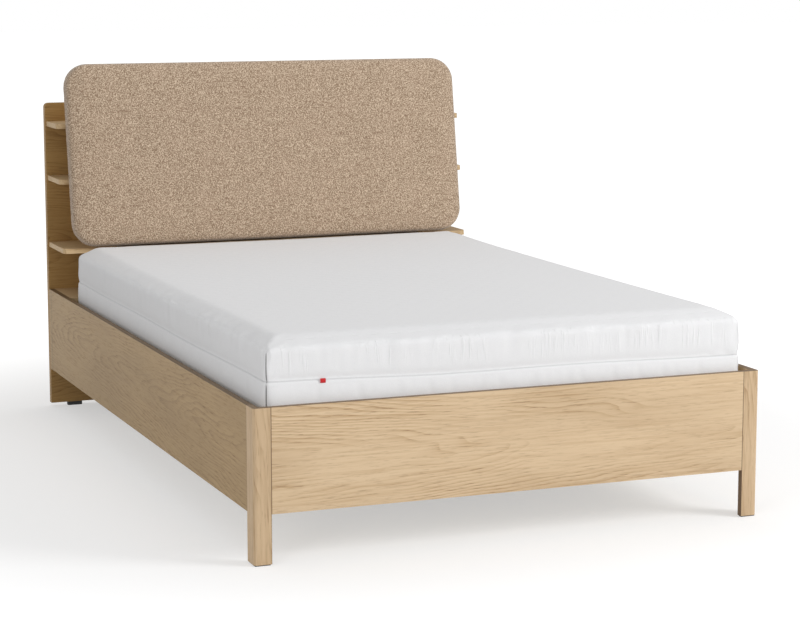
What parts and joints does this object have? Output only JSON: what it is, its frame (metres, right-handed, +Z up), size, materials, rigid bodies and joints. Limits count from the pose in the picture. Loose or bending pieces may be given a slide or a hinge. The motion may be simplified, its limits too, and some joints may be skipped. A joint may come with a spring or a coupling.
{
  "type": "storage bed",
  "caption": "Double bed with panel frame, open shelves behind a leaning upholstered headboard, and a mattress platform that lifts at the foot over a storage box.",
  "frame": {"origin": "on the floor, under the middle of the whole bed", "axes": "+X to the right as seen from the foot, +Y from foot to head, +Z up"},
  "size_m": [1.468, 2.29, 1.1932],
  "materials": {
    "oak_panel": "matt lacquered oak veneer",
    "oak_leg": "matt lacquered oak",
    "oak_shelf": "matt lacquered oak veneer",
    "black_plastic": "matt",
    "plywood": "raw plywood",
    "pad_fabric": "woven boucle upholstery",
    "fibreboard": "thin fibreboard",
    "pine": "planed pine",
    "rubber_buffer": "soft rubber",
    "zinc_steel": "zinc plated",
    "black_steel": "black powder coat",
    "rod_chrome": "polished",
    "birch_slat": "laminated birch",
    "grey_plastic": "matt",
    "webbing": "woven strap",
    "mattress_cover": "knitted, quilted cover",
    "tag_fabric": "plain woven tag"
  },
  "bodies": {
    "frame": {"footboard_panel": "oak_panel", "side_rail_left": "oak_panel", "side_rail_right": "oak_panel", "leg_front_left": "oak_leg", "leg_front_right": "oak_leg", "leg_glides": "black_plastic", "back_panel": "oak_panel", "back_panel_glides": "black_plastic", "shelf_lower": "oak_shelf", "shelf_middle": "oak_shelf", "shelf_upper": "oak_shelf", "shelf_base": "oak_shelf", "divider_left": "oak_shelf", "divider_right": "oak_shelf", "pad_board": "plywood", "headboard_pad": "pad_fabric", "pad_brackets": "zinc_steel", "head_wall": "fibreboard", "floor_ledge_left": "zinc_steel", "floor_ledge_right": "zinc_steel", "floor_panel_left": "fibreboard", "floor_panel_right": "fibreboard", "centre_beam": "pine", "centre_feet": "black_plastic", "side_cleat_left": "pine", "side_cleat_right": "pine", "foot_cleat": "pine", "rest_buffers": "rubber_buffer", "corner_plates": "zinc_steel", "back_angles": "zinc_steel", "frame_screws": "zinc_steel", "base_plate_left": "black_steel", "base_plate_right": "black_steel", "base_plate_pins": "zinc_steel"},
    "lift_arms": {"lift_arm_left": "black_steel", "lift_arm_right": "black_steel"},
    "guide_links": {"guide_link_left": "black_steel", "guide_link_right": "black_steel"},
    "gas_cylinders": {"gas_cylinder_left": "black_steel", "gas_cylinder_right": "black_steel"},
    "gas_rods": {"gas_rod_left": "rod_chrome", "gas_rod_right": "rod_chrome"},
    "platform": {"platform_side_tube_left": "black_steel", "platform_side_tube_right": "black_steel", "platform_centre_tube": "black_steel", "platform_foot_tube": "black_steel", "platform_head_tube": "black_steel", "tube_plugs": "black_plastic", "platform_bracket_left": "black_steel", "platform_bracket_right": "black_steel", "platform_pins": "zinc_steel", "slats_left": "birch_slat", "slats_right": "birch_slat", "slat_holders_left": "grey_plastic", "slat_holders_right": "grey_plastic", "slat_holders_centre": "grey_plastic", "mattress_stops": "black_steel", "pull_strap": "webbing", "mattress": "mattress_cover", "mattress_tag": "tag_fabric"}
  },
  "joints": [
    {"name": "arm_swing", "type": "hinge", "parent": "frame", "child": "lift_arms", "pos_m": [0, 0.055, 0.165], "axis": [1, 0, 0], "range_deg": [0, 51]},
    {"name": "platform_lift", "type": "hinge", "parent": "lift_arms", "child": "platform", "pos_m": [0, 0.423, 0.283], "axis": [-1, 0, 0], "range_deg": [0, 90.9]},
    {"name": "link_swing", "type": "hinge", "parent": "frame", "child": "guide_links", "pos_m": [0, 0.206, 0.295], "axis": [1, 0, 0], "range_deg": [0, 65.8]},
    {"name": "gas_cylinder_swing", "type": "hinge", "parent": "frame", "child": "gas_cylinders", "pos_m": [0, 0.316, 0.165], "axis": [1, 0, 0], "range_deg": [0, 59.6]},
    {"name": "gas_rod_slide", "type": "slide", "parent": "gas_cylinders", "child": "gas_rods", "axis": [0, 0.8034, 0.5954], "range_m": [0, 0.08]}
  ],
  "couplings": [
    {"joint": "arm_swing", "follows": "platform_lift", "ratio": 0.5599},
    {"joint": "link_swing", "follows": "platform_lift", "ratio": 0.7218},
    {"joint": "gas_cylinder_swing", "follows": "platform_lift", "ratio": 0.653},
    {"joint": "gas_rod_slide", "follows": "platform_lift", "m_per_rad": 0.049655}
  ]
}
